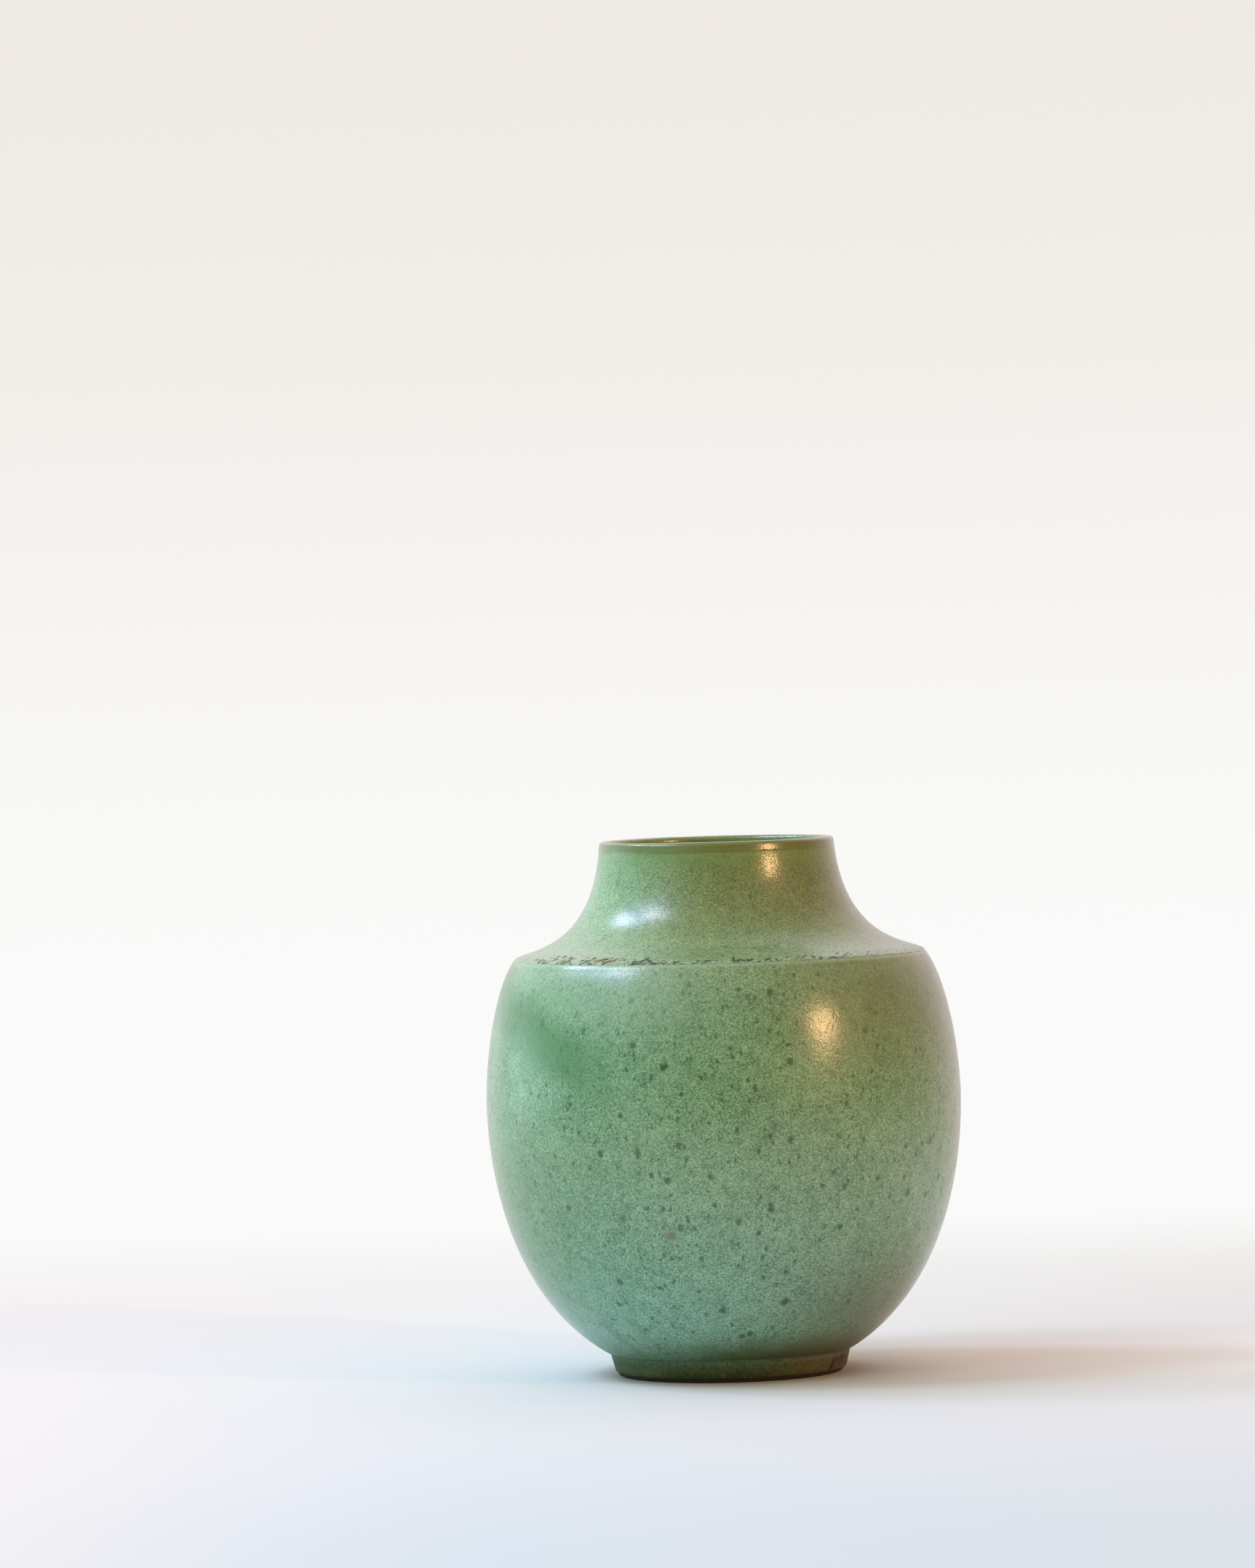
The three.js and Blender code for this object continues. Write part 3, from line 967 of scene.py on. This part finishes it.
def clay_sections():
    bare = clay_material("bare_clay")
    foot_ring(bare)
    liner_corner = float(lengths(CURVES["liner"][0])[-1])
    clay_wall(
        "belly_clay", "belly_section",
        [("foot", 6.2, run_length("foot") - 0.01), ("belly", 0.3, run_length("belly") - 0.3)],
        ("liner", liner_corner + 0.3, run_length("liner") - 1.0),
        [trimmed_floor()], bare)
    clay_wall(
        "shoulder_neck_clay", "shoulder_neck_section",
        [("shoulder", 0.3, run_length("shoulder") - 0.05), ("rim", 0.05, run_length("rim") - 0.05)],
        ("liner", 0.05, liner_corner - 0.3), [], bare)


glaze_coats()
clay_sections()

# ---------------------------------------------------------------- stage, light and camera

# The stage is measured in metres, apart from the places in its material.
FLOOR_RADIUS = 3.0
FLOOR_CORNERS = 96
FLOOR_BACK = (0.785, 0.795, 0.740)
FLOOR_MIDDLE = (0.745, 0.765, 0.755)
FLOOR_FRONT = (0.62, 0.69, 0.72)
FLOOR_LEFT = (0.80, 0.755, 0.695)
FLOOR_PAINTED_CONTACT_SHADOW = (0.46, 0.38, 0.29)
FLOOR_PAINTED_SHADOW_LIFT = (0.85, 0.84, 0.85)


def floor_material():
    """Pale card whose colour shifts with its place as painted light and shade, and which clears into the
    background far off.
    """
    look = Material("pale_floor")
    nearness, side, radius = look.reach((0, -1, 0)), look.side(), look.radius()
    colour = look.mix(look.ramp(nearness, -400, 150), FLOOR_BACK, FLOOR_MIDDLE)
    # Painted light: darker and bluer towards the front, and warmer on the left.
    colour = look.mix(look.ramp(nearness, 80, 560), colour, FLOOR_FRONT)
    colour = look.mix(look.ramp(side, -60, -320), colour, FLOOR_LEFT)
    # Painted contact shadow: darker floor round the foot.
    colour = look.mix(look.ramp(radius, 44, 60, 0.45, 0.0), colour, FLOOR_PAINTED_CONTACT_SHADOW)
    # Painted light: the cast shadow's band on the right drawn lighter.
    depth = look.math("ABSOLUTE", look.math("ADD", nearness, 20.0))
    shaded = look.times(look.ramp(side, 44, 90), look.ramp(depth, 40, 100, 0.9, 0.0))
    colour = look.mix(shaded, colour, FLOOR_PAINTED_SHADOW_LIFT)
    look.links.new(colour, look.shader.inputs["Base Color"])
    look.shader.inputs["Roughness"].default_value = 0.9
    look.shader.inputs["Specular IOR Level"].default_value = 0.1
    far = look.math("MAXIMUM", look.ramp(nearness, -230, -750), look.ramp(radius, 800, 1500))
    clear = look.nodes.new("ShaderNodeBsdfTransparent")
    blend = look.nodes.new("ShaderNodeMixShader")
    look.links.new(far, blend.inputs[0])
    look.links.new(look.shader.outputs[0], blend.inputs[1])
    look.links.new(clear.outputs[0], blend.inputs[2])
    look.links.new(blend.outputs[0], look.nodes["Material Output"].inputs["Surface"])
    return look.material


def floor_disc():
    angles = np.linspace(0, 2 * np.pi, FLOOR_CORNERS, endpoint=False)
    vertices = [(FLOOR_RADIUS * math.cos(a), FLOOR_RADIUS * math.sin(a), 0.0) for a in angles]
    mesh = bpy.data.meshes.new("floor")
    mesh.from_pydata(vertices, [], [list(range(FLOOR_CORNERS))])
    mesh.materials.append(floor_material())
    piece = bpy.data.objects.new("floor", mesh)
    bpy.context.scene.collection.objects.link(piece)


floor_disc()

LIGHT_TARGET = Vector((0, 0, 0.12))


def direction(azimuth, elevation):
    """A unit vector seen from the vase: azimuth 0 is the front, 90 the right, in degrees."""
    a, e = math.radians(azimuth), math.radians(elevation)
    return Vector((math.sin(a) * math.cos(e), -math.cos(a) * math.cos(e), math.sin(e)))


def area_light(name, azimuth, elevation, distance, width, height, colour, power, shines=True):
    """A lit panel facing the vase. One that doesn't shine leaves no highlight."""
    data = bpy.data.lights.new(name, "AREA")
    data.shape = "RECTANGLE"
    data.size, data.size_y = width, height
    data.color = colour
    data.energy = power
    light = bpy.data.objects.new(name, data)
    light.location = LIGHT_TARGET + direction(azimuth, elevation) * distance
    light.rotation_euler = (LIGHT_TARGET - light.location).to_track_quat("-Z", "Y").to_euler()
    light.visible_glossy = shines
    bpy.context.scene.collection.objects.link(light)


area_light("window", -108, 44, 2.0, 0.36, 0.32, (0.66, 0.74, 1.0), 7.8)
area_light("window_near", -74, 51, 2.0, 0.52, 0.34, (0.86, 0.84, 0.92), 6.8)
area_light("window_wide", -82, 47, 2.0, 1.25, 0.6, (0.26, 0.36, 1.0), 9.6)
area_light("left_back", -106, 2, 2.0, 1.3, 0.45, (0.66, 0.90, 1.0), 2.4)
area_light("sky_left", -90, 63, 2.0, 1.0, 0.7, (0.37, 0.82, 1.0), 5.4, shines=False)
area_light("left_wall", -50, 28, 2.2, 1.8, 1.2, (0.51, 1.0, 0.98), 8.2, shines=False)
area_light("lamp", 52, 17, 1.7, 0.11, 0.15, (1.0, 0.55, 0.26), 7.6)

# How the room shines from each side, and what the camera sees behind the vase.
DARK = (0, 0, 0)
BEFORE_COLOUR = (0.14, 0.06, 0.01)
BEHIND_COLOUR = (0.83, 0.74, 0.76)
LEFT_COLOUR = (0.21, 0.46, 0.45)
RIGHT_COLOUR = (0.15, 0.05, 0.04)
TOP_COLOUR = (0.50, 0.45, 0.44)
BACKGROUND_LOW = (0.955, 0.955, 0.95)
BACKGROUND_HIGH = (0.86, 0.82, 0.775)
# A side has its full colour where a ray's part towards it is this large.
FULL_FACING = 0.95


def world_light():
    """Light from the room's sides, and the pale background that the camera sees instead."""
    world = bpy.data.worlds.new("room")
    bpy.context.scene.world = world
    world.use_nodes = True
    sky = Nodes(world.node_tree)
    sky.nodes.clear()
    place = sky.nodes.new("ShaderNodeTexCoord").outputs["Generated"]
    split = sky.nodes.new("ShaderNodeSeparateXYZ")
    sky.links.new(place, split.inputs[0])
    right, behind, up = split.outputs
    back = sky.mix(sky.ramp(behind, 0.0, FULL_FACING), BEFORE_COLOUR, BEHIND_COLOUR)
    left_side = sky.mix(sky.ramp(sky.times(right, -1), 0.0, FULL_FACING), DARK, LEFT_COLOUR)
    right_side = sky.mix(sky.ramp(right, 0.0, FULL_FACING), DARK, RIGHT_COLOUR)
    top = sky.mix(sky.ramp(up, 0.0, FULL_FACING), DARK, TOP_COLOUR)
    room = sky.mix(1.0, back, left_side, "ADD")
    room = sky.mix(1.0, room, sky.mix(1.0, top, right_side, "ADD"), "ADD")
    seen = sky.mix(sky.ramp(up, -0.055, 0.09), BACKGROUND_LOW, BACKGROUND_HIGH)
    paths = sky.nodes.new("ShaderNodeLightPath")
    lit, shown = sky.nodes.new("ShaderNodeBackground"), sky.nodes.new("ShaderNodeBackground")
    sky.links.new(room, lit.inputs[0])
    sky.links.new(seen, shown.inputs[0])
    blend = sky.nodes.new("ShaderNodeMixShader")
    sky.links.new(paths.outputs["Is Camera Ray"], blend.inputs[0])
    sky.links.new(lit.outputs[0], blend.inputs[1])
    sky.links.new(shown.outputs[0], blend.inputs[2])
    sky.links.new(blend.outputs[0], sky.nodes.new("ShaderNodeOutputWorld").inputs["Surface"])


world_light()

# The camera looks from the front. Its distance and level are in metres, and its turns in degrees.
CAMERA_DISTANCE = 2.732
CAMERA_LEVEL = 0.278
CAMERA_LENS = 165
AIM_LEFT = 0.693
AIM_DOWN = 1.116
CAMERA_ROLL = 1.644


def place_camera():
    data = bpy.data.cameras.new("camera")
    data.lens = CAMERA_LENS
    data.sensor_width = 36
    data.clip_end = 50
    camera = bpy.data.objects.new("camera", data)
    bpy.context.scene.collection.objects.link(camera)
    turn = Matrix.Rotation(math.radians(AIM_LEFT), 4, "Z")
    tilt = Matrix.Rotation(math.radians(90 - AIM_DOWN), 4, "X")
    roll = Matrix.Rotation(math.radians(-CAMERA_ROLL), 4, "Z")
    camera.matrix_world = Matrix.Translation((0, -CAMERA_DISTANCE, CAMERA_LEVEL)) @ turn @ tilt @ roll
    bpy.context.scene.camera = camera


place_camera()
bpy.context.scene.view_settings.view_transform = "Standard"
